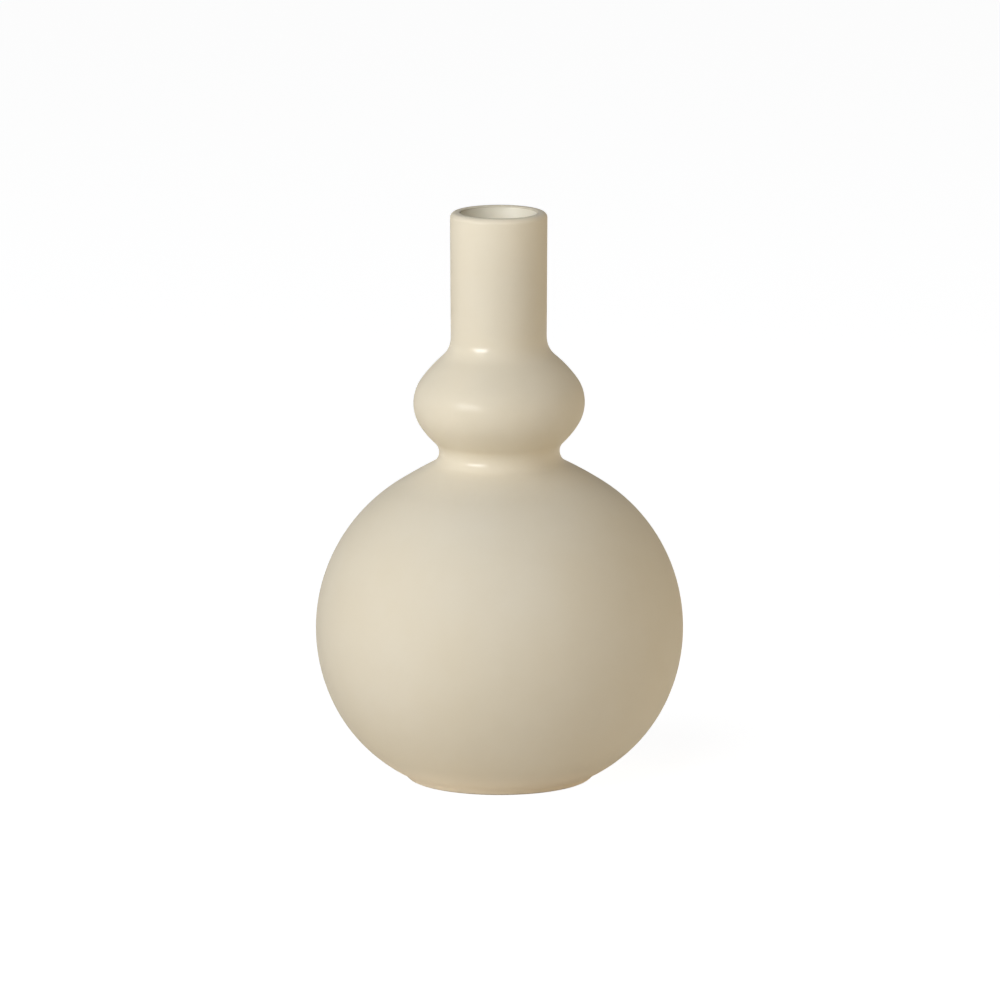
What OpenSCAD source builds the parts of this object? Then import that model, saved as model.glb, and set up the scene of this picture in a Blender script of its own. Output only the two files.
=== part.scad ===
// Bottle vase in glazed stoneware: low foot, round belly, tight waist, flattened bulb and straight neck.
// The clay is three sections, joined in half-lapped steps with slip between them.
// One glaze skin covers the outside and rolls over the lip, and a glaze liner covers the inside.
// The foot ring is bare clay round a shallow glazed recess.
// All sizes are in millimetres, at the glazed surface unless a comment says otherwise.
// The origin is the centre of the foot, on the table. +Z is up, along the axis of the vase.

/* [Belly] */
// Widest diameter of the belly
belly_d = 125; // [121:0.5:129]
// Height of the belly's widest level above the table
belly_level = 52; // [49:0.5:55]
// Radius of the arc round the belly's side
belly_side_r = 58.5; // [56:0.5:61]
// Radius of the arc under the side
belly_low_r = 51; // [48:0.5:54]
// Angle below level at which the side arc turns into the lower arc
belly_low_angle = 27; // [20:1:29]
// Angle below level at which the lower arc turns into the heel, whose arc runs down to wherever the foot is
belly_heel_angle = 30; // [29:1:34]
// Radius of the flatter arc above the side, up to the waist
belly_top_r = 160; // [120:5:240]
// Angle above level at which the side arc turns into the flatter arc
belly_top_angle = 57; // [52:1:59]

/* [Waist] */
// Radius of the fillet in the waist
waist_fillet_r = 4.8; // [4:0.1:6]

/* [Bulb] */
// Widest diameter of the bulb
bulb_d = 58.2; // [56:0.2:62]
// Rise from the belly's widest level to the bulb's
bulb_rise = 77.6; // [74:0.2:80]
// Radius of the arc round the bulb's side
bulb_side_r = 13.8; // [12:0.2:16]
// Radius of the arc under the bulb's side, down to the waist
bulb_low_r = 30; // [26:1:36]
// Angle below level at which the bulb's side turns into its lower arc
bulb_low_angle = 32; // [26:1:38]
// Radius of the arc above the bulb's side, up to the shoulder
bulb_top_r = 45; // [38:1:55]
// Angle above level at which the bulb's side turns into its upper arc
bulb_top_angle = 36; // [30:1:42]

/* [Neck and lip] */
// Radius of the fillet between the bulb and the neck
shoulder_fillet_r = 9; // [7:0.5:12]
// Diameter of the neck where it leaves the shoulder
neck_d = 32.6; // [31:0.2:35]
// Diameter of the neck under the lip
lip_d = 33; // [32:0.2:36]
// Rise from the bulb's widest level to the top of the lip
lip_rise = 65.4; // [45:0.2:85]
// Radius of the lip's outer rounding
lip_outer_r = 1.9; // [1.2:0.1:2.2]
// Radius of the lip's inner rounding
lip_inner_r = 0.6; // [0.5:0.1:1.2]

/* [Foot] */
// Diameter of the foot
foot_d = 64.9; // [60:0.1:67]
// Radius of the foot's rounded edge
foot_edge_r = 3; // [2.5:0.1:3.6]
// How far the foot's rounded edge stands out of the heel
foot_stand = 0.8; // [0.4:0.05:1.6]
// Radius of the soft crease between the foot and the heel
foot_crease_r = 8; // [4:0.5:12]
// Width of the flat ring that rests on the table
foot_ring_w = 3.6; // [2.5:0.1:6]
// Depth of the recess inside the ring
recess_h = 2; // [1.2:0.1:3]
// How far the recess narrows from its mouth to its ceiling, on each side
recess_draft = 1.5; // [0.5:0.1:2.5]
// Height above the table at which the outer glaze stops
glaze_stop = 0.5; // [0.3:0.1:0.9]
// How far above the glaze's edge the crease begins at the lowest
glaze_edge_room = 0.1; // [0.1:0.1:0.4]

/* [Clay and glaze] */
// Thickness of the clay wall
wall_t = 2.6; // [2.2:0.1:3.6]
// Thickness of the clay floor, over the recess
floor_t = 4.5; // [3:0.1:6]
// Radius of the clay's corner between floor and wall, inside
floor_corner_r = 12; // [6:0.5:16]
// Thickness of each layer of glaze
glaze_t = 0.35; // [0.25:0.05:0.5]

/* [Joints between the sections] */
// Thickness of the slip in a joint
slip_t = 0.5; // [0.3:0.1:0.8]
// Height of the step in a joint
step_h = 2; // [1:0.1:3]

/* [Hidden] */
// Flat sides that stand for each round surface
round_sides = 144;
// Furthest that a chord may stray from the arc it stands for
smooth = 0.015;
// Overrun of the regions that cut the wall, past the widest level
overrun = 5;
// Two points closer than this are one point
same_point = 0.001;
// Turn between the outward normals of an outside arc and of the fillet that it runs into
half_turn = 180;
glaze_colour = [0.89, 0.86, 0.78];
clay_colour = [0.79, 0.73, 0.63];
slip_colour = [0.70, 0.63, 0.52];

// Depths below the glazed surface: the clay's outside, its inside, and the liner's inner face
clay_out = glaze_t;
clay_in = glaze_t + wall_t;
liner_in = clay_in + glaze_t;

belly_r = belly_d / 2;
bulb_r = bulb_d / 2;
neck_r = neck_d / 2;
lip_r = lip_d / 2;
foot_r = foot_d / 2;
bulb_level = belly_level + bulb_rise;
lip_level = bulb_level + lip_rise;

// Half profile as [radius, height] points, built from arcs that run into each other without a kink.
// An angle is that of the outward normal: 0 points away from the axis, 90 points up.
function direction(a) = [cos(a), sin(a)];
function angle_to(from, to) = atan2(to[1] - from[1], to[0] - from[0]);

// Centre of the next arc, of radius next_r, that carries on from an arc at the angle a
function carry_on(centre, r, next_r, a) = centre + (r - next_r) * direction(a);

// Centre of a fillet of radius r between a lower circle and an upper one, on the side away from the axis
function fillet_centre(low, low_r, up, up_r, r) =
    let (gap = norm(up - low))
    let (to_up = (up - low) / gap)
    let (along = (pow(low_r + r, 2) - pow(up_r + r, 2) + gap * gap) / (2 * gap))
    let (across = sqrt(pow(low_r + r, 2) - along * along))
    low + along * to_up + across * [to_up[1], -to_up[0]];

// Points of an arc, without its first point, which ends the piece of outline before it
function arc(centre, r, from, to) =
    let (count = ceil(abs(to - from) / (2 * acos(1 - smooth / r))))
    [for (i = [1 : count]) centre + r * direction(from + (to - from) * i / count)];

function reversed(path) = [for (i = [len(path) - 1 : -1 : 0]) path[i]];
function without_repeats(path) =
    [for (i = [0 : len(path) - 1]) if (i == 0 || norm(path[i] - path[max(i - 1, 0)]) > same_point) path[i]];

side_c = [belly_r - belly_side_r, belly_level];
low_c = carry_on(side_c, belly_side_r, belly_low_r, -belly_low_angle);
top_c = carry_on(side_c, belly_side_r, belly_top_r, belly_top_angle);
bulb_c = [bulb_r - bulb_side_r, bulb_level];
bulb_low_c = carry_on(bulb_c, bulb_side_r, bulb_low_r, -bulb_low_angle);
bulb_top_c = carry_on(bulb_c, bulb_side_r, bulb_top_r, bulb_top_angle);
waist_c = fillet_centre(top_c, belly_top_r, bulb_low_c, bulb_low_r, waist_fillet_r);
waist_from = angle_to(top_c, waist_c);
waist_to = angle_to(bulb_low_c, waist_c);
shoulder_x = neck_r + shoulder_fillet_r;
shoulder_reach = bulb_top_r + shoulder_fillet_r;
shoulder_rise = sqrt(pow(shoulder_reach, 2) - pow(shoulder_x - bulb_top_c[0], 2));
shoulder_c = [shoulder_x, bulb_top_c[1] + shoulder_rise];
shoulder_from = angle_to(bulb_top_c, shoulder_c);
waist_level = waist_c[1];
shoulder_level = shoulder_c[1];

// The outline from the top of the heel to the foot of the neck, at a depth below the glazed surface.
// Each side arc is split at its widest level, so that the diameter there is exact.
function belly_to_neck(depth) = concat(
    arc(low_c, belly_low_r - depth, -belly_heel_angle, -belly_low_angle),
    arc(side_c, belly_side_r - depth, -belly_low_angle, 0),
    arc(side_c, belly_side_r - depth, 0, belly_top_angle),
    arc(top_c, belly_top_r - depth, belly_top_angle, waist_from),
    arc(waist_c, waist_fillet_r + depth, half_turn + waist_from, half_turn + waist_to),
    arc(bulb_low_c, bulb_low_r - depth, waist_to, -bulb_low_angle),
    arc(bulb_c, bulb_side_r - depth, -bulb_low_angle, 0),
    arc(bulb_c, bulb_side_r - depth, 0, bulb_top_angle),
    arc(bulb_top_c, bulb_top_r - depth, bulb_top_angle, shoulder_from),
    arc(shoulder_c, shoulder_fillet_r + depth, half_turn + shoulder_from, half_turn)
);

// The foot's edge rests on the table at every depth, so the glaze over it thins out downwards
function foot_c(depth) = [foot_r - foot_edge_r, foot_edge_r - depth];

// The heel's arc carries on from the lower arc and passes the foot's edge so that the edge stands out of it
heel_out = direction(-belly_heel_angle);
heel_reach = low_c + belly_low_r * heel_out - foot_c(0);
foot_sink = foot_edge_r - foot_stand;
heel_r = (heel_reach * heel_reach - pow(foot_sink, 2)) / (2 * (heel_reach * heel_out - foot_sink));
heel_c = carry_on(low_c, belly_low_r, heel_r, -belly_heel_angle);
function foot_angle(depth, z) = asin(z / (foot_edge_r - depth) - 1);

// The crease begins on the foot's edge, above the glaze's edge. Where the foot is low the crease's radius is
// less for that, and where the room comes out negative there is room for any radius.
crease_out = direction(foot_angle(0, glaze_stop + glaze_edge_room));
foot_off_heel = foot_c(0) - heel_c;
crease_off_heel = foot_off_heel + foot_edge_r * crease_out;
crease_room = (crease_off_heel * crease_off_heel - pow(heel_r, 2))
    / (2 * (heel_r - foot_edge_r - foot_off_heel * crease_out));
crease_r = crease_room > 0 ? min(foot_crease_r, crease_room) : foot_crease_r;
function crease_c(depth) = fillet_centre(foot_c(depth), foot_edge_r, heel_c, heel_r, crease_r);
function foot_end(depth) = angle_to(foot_c(depth), crease_c(depth));
function heel_start(depth) = angle_to(heel_c, crease_c(depth));

// The mouth: a plain bore, a rounded lip and a narrow flat between its two roundings
bore_r = neck_r - liner_in;
lip_outer_c = [lip_r - lip_outer_r, lip_level - lip_outer_r];
lip_inner = min(lip_inner_r, lip_outer_c[0] - bore_r);
lip_inner_c = [bore_r + lip_inner, lip_level - lip_inner];

// The outside from a height on the foot's edge up to the lip and over it to the end of its inner rounding
function outside(depth, z) = without_repeats(concat(
    [foot_c(depth) + (foot_edge_r - depth) * direction(foot_angle(depth, z))],
    arc(foot_c(depth), foot_edge_r - depth, foot_angle(depth, z), foot_end(depth)),
    arc(crease_c(depth), crease_r + depth, half_turn + foot_end(depth), half_turn + heel_start(depth)),
    arc(heel_c, heel_r - depth, heel_start(depth), -belly_heel_angle),
    belly_to_neck(depth),
    [[lip_r - depth, lip_outer_c[1]]],
    arc(lip_outer_c, lip_outer_r - depth, 0, 90),
    [[lip_inner_c[0], lip_level - depth]],
    arc(lip_inner_c, lip_inner - depth, 90, 180)
));

// The inside from the middle of the floor up to the end of the lip's inner rounding.
// The corner takes up half of the heel's own radius at most.
floor_level = recess_h + floor_t;
corner_r = min(floor_corner_r, (heel_r - clay_in) / 2);
corner_level = floor_level + corner_r;
corner_reach = heel_r - clay_in - corner_r;
corner_c = [heel_c[0] + sqrt(pow(corner_reach, 2) - pow(heel_c[1] - corner_level, 2)), corner_level];
corner_end = angle_to(heel_c, corner_c);
function inside(depth) = without_repeats(concat(
    [[0, floor_level + depth - clay_in], [corner_c[0], floor_level + depth - clay_in]],
    arc(corner_c, corner_r + clay_in - depth, -90, corner_end),
    arc(heel_c, heel_r - depth, corner_end, -belly_heel_angle),
    belly_to_neck(depth),
    [[neck_r - depth, lip_inner_c[1]]]
));

// The recess under the floor
ring_in_r = foot_r - foot_edge_r - foot_ring_w;
function recess_r(z) = ring_in_r - recess_draft * z / recess_h;

// All the clay, as one half section
module clay_outline() {
    polygon(without_repeats(concat(
        outside(clay_out, 0),
        reversed(inside(clay_in)),
        [[0, recess_h], [recess_r(recess_h), recess_h], [ring_in_r, 0]]
    )));
}

// A stepped joint is a level and the radius of its riser, in the middle of the clay wall
wall_mid = clay_out + wall_t / 2;
waist_joint = [waist_level, waist_c[0] - waist_fillet_r - wall_mid];
shoulder_joint = [shoulder_level, neck_r - wall_mid];

// Everything below a joint: the inner half stands one step above the outer half, and shift moves the face
// up and outwards
module below(joint, shift) {
    far = belly_r + overrun;
    low = joint[0] - step_h / 2 + shift;
    high = joint[0] + step_h / 2 + shift;
    riser = joint[1] + shift;
    polygon([[0, -overrun], [far, -overrun], [far, low], [riser, low], [riser, high], [0, high]]);
}

// The slip that fills a joint, between the faces of the two sections
module slip_ring(joint) {
    rotate_extrude($fn = round_sides)
        intersection() {
            clay_outline();
            difference() {
                below(joint, slip_t / 2);
                below(joint, -slip_t / 2);
            }
        }
}

// Belly, floor and foot ring
module belly_section() {
    color(clay_colour)
        rotate_extrude($fn = round_sides)
            intersection() {
                clay_outline();
                below(waist_joint, -slip_t / 2);
            }
}

// Bulb, from the waist to the shoulder
module bulb_section() {
    color(clay_colour)
        rotate_extrude($fn = round_sides)
            difference() {
                intersection() {
                    clay_outline();
                    below(shoulder_joint, -slip_t / 2);
                }
                below(waist_joint, slip_t / 2);
            }
}

// Neck and lip
module neck_section() {
    color(clay_colour)
        rotate_extrude($fn = round_sides)
            difference() {
                clay_outline();
                below(shoulder_joint, slip_t / 2);
            }
}

module waist_slip_joint() {
    color(slip_colour) slip_ring(waist_joint);
}

module shoulder_slip_joint() {
    color(slip_colour) slip_ring(shoulder_joint);
}

// Glaze over the outside and the lip
module outer_glaze() {
    color(glaze_colour)
        rotate_extrude($fn = round_sides)
            polygon(concat(outside(0, glaze_stop), reversed(outside(clay_out, glaze_stop))));
}

// Glaze over the inside, up to the edge of the lip's glaze
module inner_glaze() {
    color(glaze_colour)
        rotate_extrude($fn = round_sides)
            polygon(concat(inside(clay_in), reversed(inside(liner_in))));
}

// Glaze on the ceiling of the recess under the foot
module foot_recess_glaze() {
    face = recess_h - glaze_t;
    color(glaze_colour)
        rotate_extrude($fn = round_sides)
            polygon([[0, face], [recess_r(face), face], [recess_r(recess_h), recess_h], [0, recess_h]]);
}

belly_section();
bulb_section();
neck_section();
waist_slip_joint();
shoulder_slip_joint();
outer_glaze();
inner_glaze();
foot_recess_glaze();
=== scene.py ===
"""Looks, floor, light and camera for a glazed stoneware bottle vase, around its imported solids.

Metres and degrees, +Z up, the foot's centre at the origin, the viewer on -Y. The two glaze skins are turned
again here from the outline's own arcs, finer than the solids and smooth, with the small unevenness of a
handmade pot.
"""

import math

import bpy
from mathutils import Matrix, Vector


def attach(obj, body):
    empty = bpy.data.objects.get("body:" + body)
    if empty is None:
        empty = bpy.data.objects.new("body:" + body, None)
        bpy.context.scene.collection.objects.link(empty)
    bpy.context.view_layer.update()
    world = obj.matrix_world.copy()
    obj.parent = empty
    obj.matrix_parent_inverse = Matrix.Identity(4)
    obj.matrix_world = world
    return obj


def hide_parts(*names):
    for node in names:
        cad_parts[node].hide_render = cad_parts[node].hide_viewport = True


MM = 0.001
HALF_TURN = 180
QUARTER_TURN = 90

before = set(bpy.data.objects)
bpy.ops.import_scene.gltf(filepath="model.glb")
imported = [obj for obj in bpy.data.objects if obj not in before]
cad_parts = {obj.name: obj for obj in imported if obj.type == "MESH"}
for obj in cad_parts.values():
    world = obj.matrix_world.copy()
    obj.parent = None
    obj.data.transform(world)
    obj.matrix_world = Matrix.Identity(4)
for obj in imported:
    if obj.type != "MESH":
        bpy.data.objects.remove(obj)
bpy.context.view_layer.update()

# Sizes of the outline, which are those of the solids

belly_r = 62.5 * MM
belly_level = 52 * MM
belly_side_r = 58.5 * MM
belly_low_r = 51 * MM
belly_low_angle = 27
belly_heel_angle = 30
belly_top_r = 160 * MM
belly_top_angle = 57
waist_fillet_r = 4.8 * MM
bulb_r = 29.1 * MM
bulb_rise = 77.6 * MM
bulb_side_r = 13.8 * MM
bulb_low_r = 30 * MM
bulb_low_angle = 32
bulb_top_r = 45 * MM
bulb_top_angle = 36
shoulder_fillet_r = 9 * MM
neck_r = 16.3 * MM
lip_r = 16.5 * MM
lip_rise = 65.4 * MM
lip_outer_r = 1.9 * MM
lip_inner_r = 0.6 * MM
foot_r = 32.45 * MM
foot_edge_r = 3 * MM
foot_stand = 0.8 * MM
foot_crease_r = 8 * MM
recess_h = 2 * MM
glaze_stop = 0.5 * MM
floor_t = 4.5 * MM
floor_corner_r = 12 * MM
wall_t = 2.6 * MM
glaze_t = 0.35 * MM

bulb_level = belly_level + bulb_rise
lip_level = bulb_level + lip_rise

# Depths below the glazed surface: the inner face of the clay, and the face of the liner

clay_in = glaze_t + wall_t
liner_in = clay_in + glaze_t

# How finely the skins are turned, and the angle past which an edge is shaded sharp

SEGMENTS = 180
ARC_STEP = 1.1 * MM
ARC_TURN = 5
SHARP_ANGLE = 50
SAME_POINT = 0.001 * MM


def direction(angle):
    """The unit vector at an angle, where 0 points away from the axis and 90 points up."""
    return Vector((math.cos(math.radians(angle)), math.sin(math.radians(angle))))


def angle_to(start, end):
    """The angle of the way from one point to another."""
    return math.degrees(math.atan2(end.y - start.y, end.x - start.x))


def carry_on(centre, r, next_r, angle):
    """Centre of the next arc, which carries on from this one at an angle."""
    return centre + (r - next_r) * direction(angle)


def fillet_centre(low, low_r, up, up_r, r):
    """Centre of a fillet between a lower circle and an upper one, on the side away from the axis."""
    gap = (up - low).length
    to_up = (up - low) / gap
    along = ((low_r + r) ** 2 - (up_r + r) ** 2 + gap * gap) / (2 * gap)
    across = math.sqrt((low_r + r) ** 2 - along * along)
    return low + along * to_up + across * Vector((to_up.y, -to_up.x))


def arc(centre, r, start, end):
    """Points of an arc without its first, which ends the piece of outline before it."""
    turn = abs(end - start)
    count = math.ceil(max(math.radians(turn) * r / ARC_STEP, turn / ARC_TURN))
    return [centre + r * direction(start + (end - start) * i / count) for i in range(1, count + 1)]


def line(start, end):
    """Points of a straight piece without its first."""
    count = math.ceil((end - start).length / ARC_STEP)
    return [start.lerp(end, i / count) for i in range(1, count + 1)]


# Arcs from the belly's side up to the neck, as [radius, level] centres and the angles where they meet

side_c = Vector((belly_r - belly_side_r, belly_level))
low_c = carry_on(side_c, belly_side_r, belly_low_r, -belly_low_angle)
top_c = carry_on(side_c, belly_side_r, belly_top_r, belly_top_angle)
bulb_c = Vector((bulb_r - bulb_side_r, bulb_level))
bulb_low_c = carry_on(bulb_c, bulb_side_r, bulb_low_r, -bulb_low_angle)
bulb_top_c = carry_on(bulb_c, bulb_side_r, bulb_top_r, bulb_top_angle)
waist_c = fillet_centre(top_c, belly_top_r, bulb_low_c, bulb_low_r, waist_fillet_r)
waist_from = angle_to(top_c, waist_c)
waist_to = angle_to(bulb_low_c, waist_c)
shoulder_x = neck_r + shoulder_fillet_r
shoulder_rise = math.sqrt((bulb_top_r + shoulder_fillet_r) ** 2 - (shoulder_x - bulb_top_c.x) ** 2)
shoulder_c = Vector((shoulder_x, bulb_top_c.y + shoulder_rise))
shoulder_from = angle_to(bulb_top_c, shoulder_c)

# Foot and heel: the heel's arc carries on from the belly's low arc, and the foot's edge stands proud of it

foot_c = Vector((foot_r - foot_edge_r, foot_edge_r))
heel_out = direction(-belly_heel_angle)
heel_reach = low_c + belly_low_r * heel_out - foot_c
foot_sink = foot_edge_r - foot_stand
heel_r = (heel_reach.length_squared - foot_sink ** 2) / (2 * (heel_reach.dot(heel_out) - foot_sink))
heel_c = carry_on(low_c, belly_low_r, heel_r, -belly_heel_angle)

# Lip

bore_r = neck_r - liner_in
lip_outer_c = Vector((lip_r - lip_outer_r, lip_level - lip_outer_r))
lip_inner_c = Vector((bore_r + lip_inner_r, lip_level - lip_inner_r))


def belly_to_neck(depth):
    """The outline from the top of the heel to the foot of the neck, at a depth below the glazed surface."""
    return (
        arc(low_c, belly_low_r - depth, -belly_heel_angle, -belly_low_angle)
        + arc(side_c, belly_side_r - depth, -belly_low_angle, 0)
        + arc(side_c, belly_side_r - depth, 0, belly_top_angle)
        + arc(top_c, belly_top_r - depth, belly_top_angle, waist_from)
        + arc(waist_c, waist_fillet_r + depth, HALF_TURN + waist_from, HALF_TURN + waist_to)
        + arc(bulb_low_c, bulb_low_r - depth, waist_to, -bulb_low_angle)
        + arc(bulb_c, bulb_side_r - depth, -bulb_low_angle, 0)
        + arc(bulb_c, bulb_side_r - depth, 0, bulb_top_angle)
        + arc(bulb_top_c, bulb_top_r - depth, bulb_top_angle, shoulder_from)
        + arc(shoulder_c, shoulder_fillet_r + depth, HALF_TURN + shoulder_from, HALF_TURN)
    )


def outside(depth):
    """The outside from the glaze's edge on the foot up to the lip and over it."""
    foot = foot_c - Vector((0, depth))
    foot_arc_r = foot_edge_r - depth
    start = math.degrees(math.asin(glaze_stop / foot_arc_r - 1))
    crease = fillet_centre(foot, foot_edge_r, heel_c, heel_r, foot_crease_r)
    foot_end = angle_to(foot, crease)
    heel_start = angle_to(heel_c, crease)
    body = (
        [foot + foot_arc_r * direction(start)]
        + arc(foot, foot_arc_r, start, foot_end)
        + arc(crease, foot_crease_r + depth, HALF_TURN + foot_end, HALF_TURN + heel_start)
        + arc(heel_c, heel_r - depth, heel_start, -belly_heel_angle)
        + belly_to_neck(depth)
    )
    lip_top = lip_level - depth
    lip = (
        line(body[-1], Vector((lip_r - depth, lip_outer_c.y)))
        + arc(lip_outer_c, lip_outer_r - depth, 0, QUARTER_TURN)
        + line(Vector((lip_outer_c.x, lip_top)), Vector((lip_inner_c.x, lip_top)))
        + arc(lip_inner_c, lip_inner_r - depth, QUARTER_TURN, HALF_TURN)
    )
    return body + lip


def inside(depth):
    """The inside from the middle of the floor up to the end of the lip's inner rounding."""
    floor_level = recess_h + floor_t
    corner_level = floor_level + floor_corner_r
    reach = heel_r - clay_in - floor_corner_r
    corner_c = Vector((heel_c.x + math.sqrt(reach ** 2 - (heel_c.y - corner_level) ** 2), corner_level))
    corner_end = angle_to(heel_c, corner_c)
    middle = Vector((0, floor_level + depth - clay_in))
    body = (
        [middle]
        + line(middle, Vector((corner_c.x, middle.y)))
        + arc(corner_c, floor_corner_r + clay_in - depth, -QUARTER_TURN, corner_end)
        + arc(heel_c, heel_r - depth, corner_end, -belly_heel_angle)
        + belly_to_neck(depth)
    )
    return body + line(body[-1], Vector((neck_r - depth, lip_inner_c.y)))


# Unevenness: an oval and a three-sided wave round the pot, each turning by some radians on the way up

uneven = 0.05 * MM
uneven_middle_share = 1.3
oval_share = 0.6
oval_start = 0.6
oval_twist = 4.1
three_sided_share = 0.4
three_sided_start = 2.2
three_sided_twist = -7.3
fade_length = 4 * MM

# Lean: how far each part of the vase stands off the axis, and the levels that it changes between

shoulder_lean = 0.26 * MM
waist_lean = 0.26 * MM
neck_lean = 0.24 * MM
belly_shoulder_level = 104 * MM
bulb_low_level = 119 * MM
bulb_high_level = 141 * MM
neck_foot_level = 152 * MM


def smooth_step(low, high, value):
    share = min(max((value - low) / (high - low), 0), 1)
    return share * share * (3 - 2 * share)


def unevenness(angle, level):
    """How far a point, at an angle in radians, sits inside its true round: 0.3 to 2.3 times `uneven`."""
    height = level / lip_level
    oval = math.sin(2 * angle + oval_twist * height + oval_start)
    three_sided = math.sin(3 * angle + three_sided_twist * height + three_sided_start)
    return uneven * (uneven_middle_share + oval_share * oval + three_sided_share * three_sided)


def lean(level):
    """How far right of the axis a level is: the belly's top is right, the bulb's underside and neck left."""
    shift = shoulder_lean * smooth_step(belly_level, belly_shoulder_level, level)
    shift -= (shoulder_lean + waist_lean) * smooth_step(belly_shoulder_level, bulb_low_level, level)
    shift += waist_lean * smooth_step(bulb_low_level, bulb_high_level, level)
    return shift - neck_lean * smooth_step(bulb_high_level, neck_foot_level, level)


def faces_between(low, high):
    """Faces between two rings of points, where a ring on the axis is a single point."""
    faces = []
    for here in range(SEGMENTS):
        after = (here + 1) % SEGMENTS
        if len(low) == 1:
            faces.append((low[0], high[after], high[here]))
        elif len(high) == 1:
            faces.append((low[here], low[after], high[0]))
        else:
            faces.append((low[here], low[after], high[after], high[here]))
    return faces


def turned(name, outline, face):
    """A solid of revolution: the closed outline of [radius, level] points turned round the vase's axis.

    The first `face` points are the surface that shows. They carry the lean, and the unevenness, which fades
    out near the table and near the axis.
    """
    verts = []
    rings = []
    for i, point in enumerate(outline):
        if point.x < SAME_POINT:
            rings.append([len(verts)])
            verts.append((0, 0, point.y))
            continue
        rings.append(list(range(len(verts), len(verts) + SEGMENTS)))
        fade = 0
        shift = 0
        if i < face:
            fade = smooth_step(0, fade_length, point.y) * smooth_step(0, fade_length, point.x)
            shift = lean(point.y)
        for k in range(SEGMENTS):
            angle = math.tau * k / SEGMENTS
            r = point.x - unevenness(angle, point.y) * fade
            verts.append((r * math.cos(angle) + shift, r * math.sin(angle), point.y))
    faces = []
    for low, high in zip(rings, rings[1:] + rings[:1]):
        if len(low) > 1 or len(high) > 1:
            faces += faces_between(low, high)
    mesh = bpy.data.meshes.new(name)
    mesh.from_pydata(verts, [], faces)
    mesh.validate()
    mesh.shade_smooth()
    mesh.set_sharp_from_angle(angle=math.radians(SHARP_ANGLE))
    piece = bpy.data.objects.new(name, mesh)
    bpy.context.scene.collection.objects.link(piece)
    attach(piece, "root")
    return piece


# Outer skin, which thins to nothing at its edge on the foot, as glaze does where it is wiped off

outer_face = outside(0)
outer_skin = turned("outer_glaze_skin", outer_face + outside(glaze_t)[::-1], len(outer_face))
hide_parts("outer_glaze")

# Liner skin, whose outline runs the other way round

liner_face = inside(liner_in)
liner_skin = turned("liner_glaze_skin", liner_face + inside(clay_in)[::-1], len(liner_face))
liner_skin.data.flip_normals()
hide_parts("inner_glaze")

# Node helpers


def emptied(owner):
    """The node tree of a material or world, with nothing in it."""
    owner.use_nodes = True
    owner.node_tree.nodes.clear()
    return owner.node_tree


def add(tree, kind, inputs=(), **settings):
    """A node with its settings, and its inputs as values or as sockets to link."""
    made = tree.nodes.new(kind)
    for key, value in settings.items():
        setattr(made, key, value)
    for key, value in dict(inputs).items():
        if isinstance(value, bpy.types.NodeSocket):
            tree.links.new(value, made.inputs[key])
        else:
            made.inputs[key].default_value = value
    return made


def own_place(tree):
    """Coordinates of the object itself, which stay with it in every view."""
    return add(tree, "ShaderNodeTexCoord").outputs["Object"]


def noise(tree, size, detail=2, roughness=0.5, stretch=(1, 1, 1)):
    """Noise from -1 to 1 or so, with features of this size in metres."""
    scaled = add(tree, "ShaderNodeVectorMath", {0: own_place(tree), 1: stretch}, operation="MULTIPLY")
    values = {"Vector": scaled.outputs[0], "Scale": 1 / size, "Detail": detail, "Roughness": roughness}
    return add(tree, "ShaderNodeTexNoise", values, normalize=False).outputs["Fac"]


def maths(tree, operation, first, second=0.0, third=0.0):
    return add(tree, "ShaderNodeMath", {0: first, 1: second, 2: third}, operation=operation).outputs[0]


def faded(tree, value, start, end, first=1.0, ramp="SMOOTHSTEP"):
    """A number that goes from first to zero while the value goes from start to end."""
    limits = {"Value": value, "From Min": start, "From Max": end, "To Min": first, "To Max": 0.0}
    return add(tree, "ShaderNodeMapRange", limits, interpolation_type=ramp).outputs[0]


def mixed(tree, share, low, high):
    """A colour from low to high. Sockets 0, 6 and 7 of this node are its share and its two colours."""
    return add(tree, "ShaderNodeMix", {0: share, 6: low, 7: high}, data_type="RGBA").outputs[2]


def shaded(name):
    """A new material with its node tree and its shader."""
    material = bpy.data.materials.new(name)
    tree = emptied(material)
    shader = add(tree, "ShaderNodeBsdfPrincipled")
    add(tree, "ShaderNodeOutputMaterial", {"Surface": shader.outputs["BSDF"]})
    return material, tree, shader


# Glaze colours, two of them painted light: the foot's lighter cream and the liner's lighter creams

CREAM = (0.748, 0.662, 0.500, 1)
CREAM_MILKY = (0.775, 0.705, 0.565, 1)
# A lighter, warmer cream towards the table: painted bounce light from the floor on the foot
CREAM_PAINTED_BOUNCE = (0.965, 0.857, 0.672, 1)
# The liner's creams are lighter than the outside's: painted light that brightens the inner wall of the mouth
LINER_CREAM_PAINTED_LIGHT = (0.96, 0.89, 0.72, 1)
LINER_MILKY_PAINTED_LIGHT = (0.97, 0.92, 0.77, 1)

# Milky drifts and clouds in the glaze, and the height up to which painted bounce light from the floor
# lightens the foot

painted_bounce_h = 11 * MM
drift_size = 34 * MM
drift_stretch = (1, 1, 0.7)
cloud_size = 6 * MM
milky_middle_share = 0.3
drift_share = 0.4
cloud_share = 0.06

# Relief of the glaze: turning rings, orange peel and pinholes

ring_size = 60 * MM
ring_stretch = (0.25, 0.25, 14)
ring_share = 0.8
peel_size = 1.6 * MM
peel_share = 0.3
pit_spacing = 9 * MM
pit_floor_share = 0.012
pit_edge_share = 0.03
pit_share = 4.0
relief_h = 0.003 * MM

# Gloss of the glaze: a thin coat all over, which is stronger close to the two creases

drift_rough = 0.02
glaze_ior = 1.5
pool_flat = 3 * MM
pool_end = 8 * MM
satin_coat = 0.10
pool_coat = 0.24
coat_rough = 0.23


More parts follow.
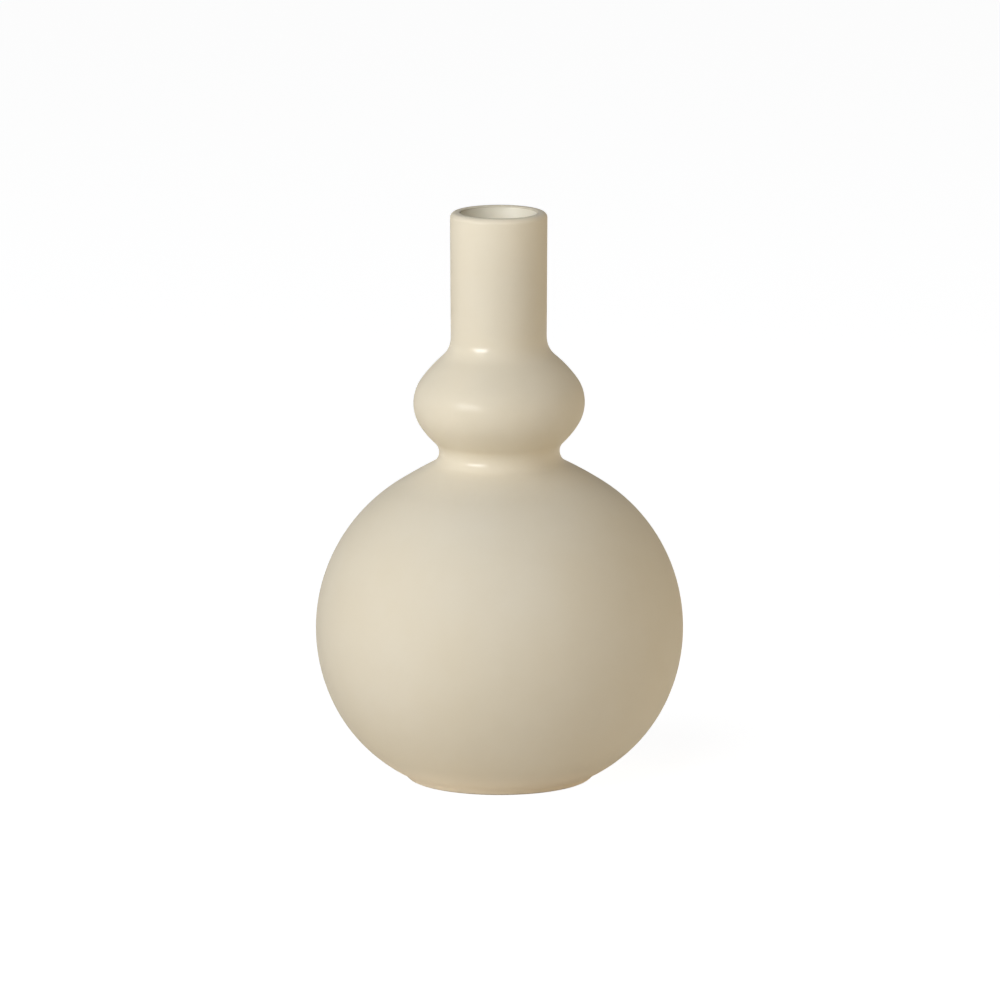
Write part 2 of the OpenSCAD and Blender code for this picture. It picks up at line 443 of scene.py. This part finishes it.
def glaze_colour(tree, drift, level, cream, milky_cream, bounce_cream):
    """Milky drifts and clouds in the cream, and painted bounce light from the floor: a lighter, warmer cream
    towards the foot.
    """
    cloud = noise(tree, cloud_size, detail=4, roughness=0.6)
    milky = maths(tree, "MULTIPLY_ADD", drift, drift_share, milky_middle_share)
    milky = maths(tree, "MULTIPLY_ADD", cloud, cloud_share, milky)
    colour = mixed(tree, milky, cream, milky_cream)
    return mixed(tree, faded(tree, level, 0.0, painted_bounce_h), colour, bounce_cream)


def glaze_relief(tree):
    """A faint orange peel, hair-fine turning rings and a few pinholes."""
    peel = noise(tree, peel_size)
    rings = noise(tree, ring_size, detail=4, roughness=0.7, stretch=ring_stretch)
    spots = {"Vector": own_place(tree), "Scale": 1 / pit_spacing}
    away = add(tree, "ShaderNodeTexVoronoi", spots).outputs["Distance"]
    pit = faded(tree, away, pit_floor_share, pit_edge_share, first=-1.0, ramp="LINEAR")
    relief = maths(tree, "MULTIPLY_ADD", rings, ring_share, maths(tree, "MULTIPLY", peel, peel_share))
    relief = maths(tree, "MULTIPLY_ADD", pit, pit_share, relief)
    return add(tree, "ShaderNodeBump", {"Height": relief, "Strength": 1.0, "Distance": relief_h}).outputs[0]


def pooled(tree, level):
    """One in the two creases, where the glaze pools, falling to zero a few millimetres above and below."""
    share = 0.0
    for crease_level in (waist_c.y, shoulder_c.y):
        away = maths(tree, "ABSOLUTE", maths(tree, "SUBTRACT", level, crease_level))
        share = maths(tree, "MAXIMUM", share, faded(tree, away, pool_flat, pool_end))
    return share


def glaze(name, cream, milky_cream, bounce_cream, rough, specular):
    """Satin cream glaze with its colour and relief, and a thin coat that is stronger where it pools."""
    material, tree, shader = shaded(name)
    drift = noise(tree, drift_size, detail=3, stretch=drift_stretch)
    level = add(tree, "ShaderNodeSeparateXYZ", {0: own_place(tree)}).outputs["Z"]
    colour = glaze_colour(tree, drift, level, cream, milky_cream, bounce_cream)
    tree.links.new(colour, shader.inputs["Base Color"])
    tree.links.new(maths(tree, "MULTIPLY_ADD", drift, drift_rough, rough), shader.inputs["Roughness"])
    tree.links.new(glaze_relief(tree), shader.inputs["Normal"])
    shader.inputs["IOR"].default_value = glaze_ior
    shader.inputs["Specular IOR Level"].default_value = specular
    coat = maths(tree, "MULTIPLY_ADD", pooled(tree, level), pool_coat - satin_coat, satin_coat)
    tree.links.new(coat, shader.inputs["Coat Weight"])
    shader.inputs["Coat Roughness"].default_value = coat_rough
    return material


# Fired clay and slip: their colours, grain and patches

CLAY = (0.78, 0.68, 0.53, 1)
CLAY_DARK = (0.62, 0.52, 0.39, 1)
SLIP = (0.45, 0.36, 0.25, 1)
SLIP_DARK = (0.36, 0.28, 0.19, 1)
grain_size = 0.6 * MM
grain_h = 0.06 * MM
grain_share = 0.5
patch_size = 14 * MM
patch_share = 0.5
patch_rough = 0.06
dark_middle_share = 0.4


def stoneware(name, colour, dark, rough):
    """Bare fired clay: fine grain, a few darker grits and a dry matt face."""
    material, tree, shader = shaded(name)
    grain = noise(tree, grain_size, detail=5, roughness=0.7)
    patch = noise(tree, patch_size, detail=3)
    share = maths(tree, "MULTIPLY_ADD", patch, patch_share, dark_middle_share)
    share = maths(tree, "MULTIPLY_ADD", grain, grain_share, share)
    tree.links.new(mixed(tree, share, colour, dark), shader.inputs["Base Color"])
    tree.links.new(maths(tree, "MULTIPLY_ADD", patch, patch_rough, rough), shader.inputs["Roughness"])
    bump = add(tree, "ShaderNodeBump", {"Height": grain, "Strength": 1.0, "Distance": grain_h})
    tree.links.new(bump.outputs[0], shader.inputs["Normal"])
    return material


# The satin glaze lightens towards the foot as painted bounce light from the floor
satin = glaze("satin_cream_glaze", CREAM, CREAM_MILKY, CREAM_PAINTED_BOUNCE, rough=0.5, specular=0.0)
# The liner's lighter creams are painted light on the inner wall of the mouth
liner = glaze("liner_glaze", LINER_CREAM_PAINTED_LIGHT, LINER_MILKY_PAINTED_LIGHT, LINER_CREAM_PAINTED_LIGHT, rough=0.35, specular=0.5)
bare = stoneware("bare_stoneware", CLAY, CLAY_DARK, rough=0.88)
slip = stoneware("joint_slip", SLIP, SLIP_DARK, rough=0.9)

# Materials on the two skins, and on the solids that keep their own shape

outer_skin.data.materials.append(satin)
liner_skin.data.materials.append(liner)
for nodes, material in (
    (("belly_section", "bulb_section", "neck_section"), bare),
    (("waist_slip_joint", "shoulder_slip_joint"), slip),
    (("foot_recess_glaze",), satin),
):
    for node in nodes:
        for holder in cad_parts[node].material_slots:
            holder.material = material

# Floor of white paper, in a white room

WHITE = (1, 1, 1, 1)
PAPER = (0.87, 0.83, 0.77, 1)
PAPER_TRACE = (0.25, 0.25, 0.25, 1)
ROOM = (1.0, 0.96, 0.9, 1)
paper_glow = 0.95
room_light = 0.02
white_light = 1.0
floor_size = 14.0


def shown(tree):
    """One for the rays that show the background in the picture, zero for those that light the vase."""
    rays = add(tree, "ShaderNodeLightPath").outputs
    direct = maths(tree, "MAXIMUM", rays["Is Camera Ray"], rays["Is Glossy Ray"])
    return maths(tree, "MAXIMUM", direct, rays["Is Transmission Ray"])


def white_paper():
    """Plain diffuse for the light that it sends back, nearly white with a trace of shadow where it shows.

    From below it is clear, so that a view from under the floor isn't blocked.
    """
    material = bpy.data.materials.new("white_paper")
    tree = emptied(material)
    lit = add(tree, "ShaderNodeBsdfDiffuse", {"Color": PAPER}).outputs[0]
    trace = add(tree, "ShaderNodeBsdfDiffuse", {"Color": PAPER_TRACE}).outputs[0]
    glow = add(tree, "ShaderNodeEmission", {"Color": WHITE, "Strength": paper_glow}).outputs[0]
    seen = add(tree, "ShaderNodeAddShader", {0: trace, 1: glow}).outputs[0]
    paper = add(tree, "ShaderNodeMixShader", {0: shown(tree), 1: lit, 2: seen}).outputs[0]
    behind = add(tree, "ShaderNodeNewGeometry").outputs["Backfacing"]
    clear = add(tree, "ShaderNodeBsdfTransparent").outputs[0]
    final = add(tree, "ShaderNodeMixShader", {0: behind, 1: paper, 2: clear}).outputs[0]
    add(tree, "ShaderNodeOutputMaterial", {"Surface": final})
    return material


def white_room():
    """A world that shows white and lights the vase with only a little warm light."""
    world = bpy.data.worlds.new("studio")
    tree = emptied(world)
    room = add(tree, "ShaderNodeBackground", {"Color": ROOM, "Strength": room_light}).outputs[0]
    white = add(tree, "ShaderNodeBackground", {"Color": WHITE, "Strength": white_light}).outputs[0]
    final = add(tree, "ShaderNodeMixShader", {0: shown(tree), 1: room, 2: white}).outputs[0]
    add(tree, "ShaderNodeOutputWorld", {"Surface": final})
    return world


half = floor_size / 2
corners = [(-half, -half, 0), (half, -half, 0), (half, half, 0), (-half, half, 0)]
floor_mesh = bpy.data.meshes.new("floor")
floor_mesh.from_pydata(corners, [], [(0, 1, 2, 3)])
floor = bpy.data.objects.new("floor", floor_mesh)
bpy.context.scene.collection.objects.link(floor)
floor.data.materials.append(white_paper())
bpy.context.scene.world = white_room()

# Soft boxes

KEY_WHITE = (0.9, 0.935, 1.0)
LOW_WHITE = (1.0, 0.97, 0.93)
RIGHT_AMBER = (1.0, 0.87, 0.68)
RIM_WARM = (1.0, 0.94, 0.8)
box_aim = Vector((0, 0, 95 * MM))
box_distance = 1.5
key_size = (1.6, 1.6)
fill_size = (0.9, 0.15)
rim_size = (0.9, 0.2)

# Narrow lamps

spot_distance = 1.2
spot_blend = 0.3
neck_lamp_r = 0.04
neck_level = 158 * MM
neck_cone = 8
mouth_lamp_r = 0.01
mouth_level = 193 * MM
mouth_cone = 1.7
glint_lamp_r = 0.015
glint_power = 10.5
glint_elevations = (10, 17)
glint_azimuths = (-57, -50.5, -44, -37.5, -31)


def set_up(name, data, target, distance, azimuth, elevation):
    """A lamp or camera that faces a target. Azimuth 0 is the viewer's side and 90 is to the right."""
    turn = math.radians(azimuth)
    rise = math.radians(elevation)
    back = Vector((math.sin(turn) * math.cos(rise), -math.cos(turn) * math.cos(rise), math.sin(rise)))
    holder = bpy.data.objects.new(name, data)
    holder.location = target + distance * back
    holder.rotation_euler = back.to_track_quat("Z", "Y").to_euler()
    bpy.context.scene.collection.objects.link(holder)
    return holder


def soft_box(name, azimuth, elevation, size, power, colour):
    """A rectangular lamp, of a width and height and a power in watts, that doesn't show in the glaze."""
    lamp = bpy.data.lights.new(name, "AREA")
    lamp.shape = "RECTANGLE"
    lamp.size = size[0]
    lamp.size_y = size[1]
    lamp.energy = power
    lamp.color = colour
    holder = set_up(name, lamp, box_aim, box_distance, azimuth, elevation)
    holder.visible_camera = False
    holder.visible_glossy = False


def spot(name, azimuth, elevation, power, radius, level=neck_level, cone=neck_cone):
    """A narrow lamp aimed at a level of the axis, as a rule at the bulb, with the neck and the creases."""
    lamp = bpy.data.lights.new(name, "SPOT")
    lamp.energy = power
    lamp.shadow_soft_size = radius
    lamp.spot_size = math.radians(cone)
    lamp.spot_blend = spot_blend
    return set_up(name, lamp, Vector((0, 0, level)), spot_distance, azimuth, elevation)


soft_box("key", azimuth=-37, elevation=37, size=key_size, power=21.4, colour=KEY_WHITE)
soft_box("low_fill", azimuth=-48, elevation=0, size=fill_size, power=5.0, colour=LOW_WHITE)
soft_box("right_fill", azimuth=80, elevation=1, size=fill_size, power=6.0, colour=RIGHT_AMBER)
soft_box("rim", azimuth=108, elevation=2, size=rim_size, power=2.4, colour=RIM_WARM)

# These two light the neck and the inside of the mouth, and don't show in the glaze
neck_light = spot("neck_light", azimuth=-50, elevation=22, power=2.5, radius=neck_lamp_r)
neck_light.visible_glossy = False
mouth_light = spot("mouth_light", azimuth=8, elevation=45, power=8.0, radius=mouth_lamp_r,
                   level=mouth_level, cone=mouth_cone)
mouth_light.visible_glossy = False

# Two rows of small lamps stand in for the soft box that glints along the creases, and add no other light
for glint_elevation in glint_elevations:
    for glint_azimuth in glint_azimuths:
        glint_name = f"glint_{glint_elevation}_{abs(glint_azimuth)}"
        glint = spot(glint_name, glint_azimuth, glint_elevation, glint_power, glint_lamp_r)
        glint.visible_diffuse = False

# Camera, at the photograph's angle

camera_elevation = 10.9
camera_distance = 4.219
sensor_width = 36.0
frame_width = 0.3392
look_at = Vector((0.17 * MM, 0, 95.92 * MM))
camera_data = bpy.data.cameras.new("camera")
camera_data.sensor_width = sensor_width
camera_data.lens = sensor_width * camera_distance / frame_width
camera = set_up("camera", camera_data, look_at, camera_distance, azimuth=0, elevation=camera_elevation)
bpy.context.scene.camera = camera

bpy.context.scene.view_settings.view_transform = "Standard"
